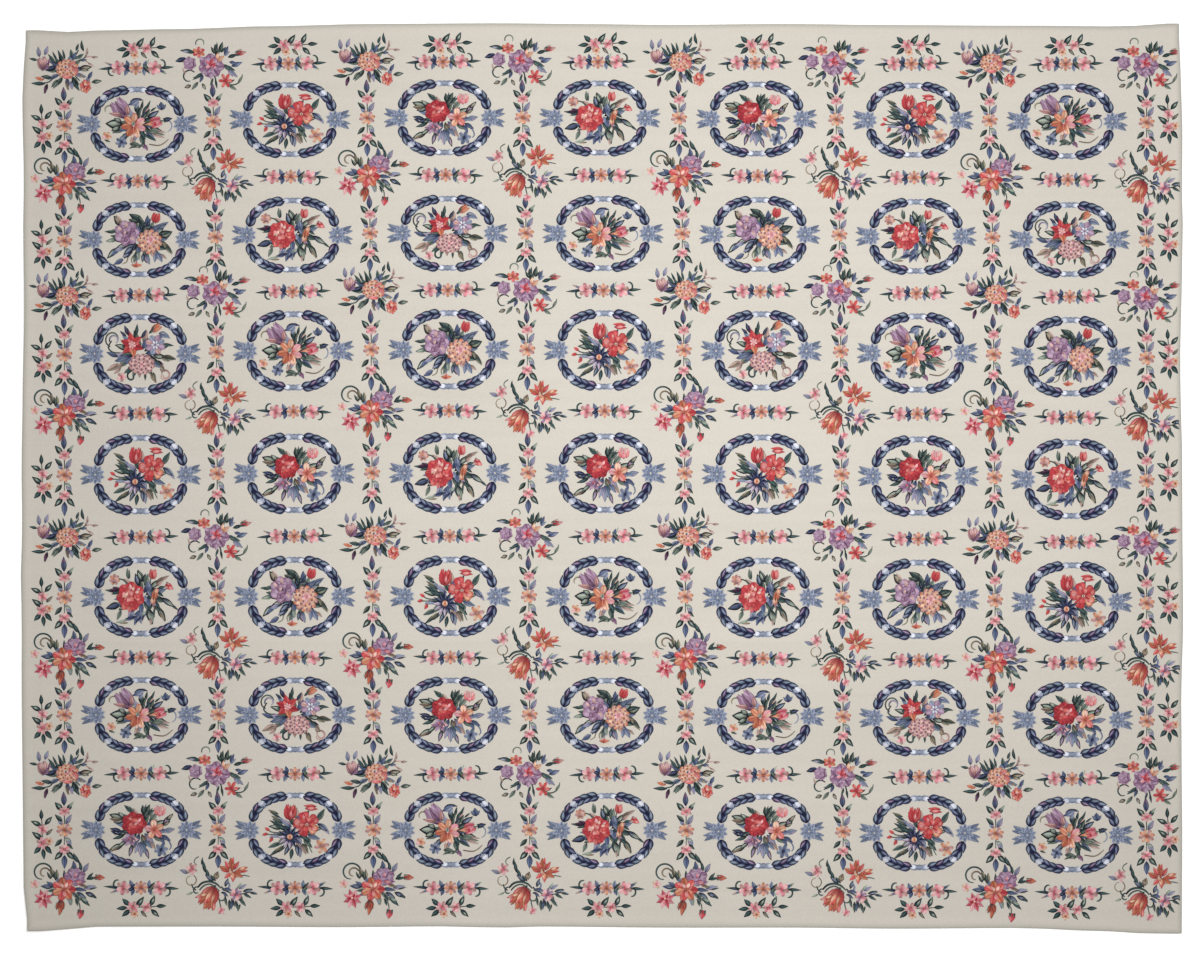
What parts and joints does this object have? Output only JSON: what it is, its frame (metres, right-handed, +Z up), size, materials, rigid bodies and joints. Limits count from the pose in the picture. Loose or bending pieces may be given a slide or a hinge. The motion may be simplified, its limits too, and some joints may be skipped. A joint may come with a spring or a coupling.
{
  "type": "flat oriental rug",
  "caption": "Room-size flat stitched wool rug with a repeating floral wreath pattern on an ivory ground and plain turned-under edges, lying flat on the floor.",
  "frame": {"origin": "middle of the rug's box in plan, at the underside that rests on the floor", "axes": "+X along the long side, +Y along the short side, +Z up out of the patterned face"},
  "size_m": [3.5996, 2.8199, 0.014],
  "materials": {
    "wool": "dull stitched wool, ivory ground with many-coloured floral needlework"
  },
  "bodies": {
    "root": {"rug": "wool"}
  },
  "joints": []
}
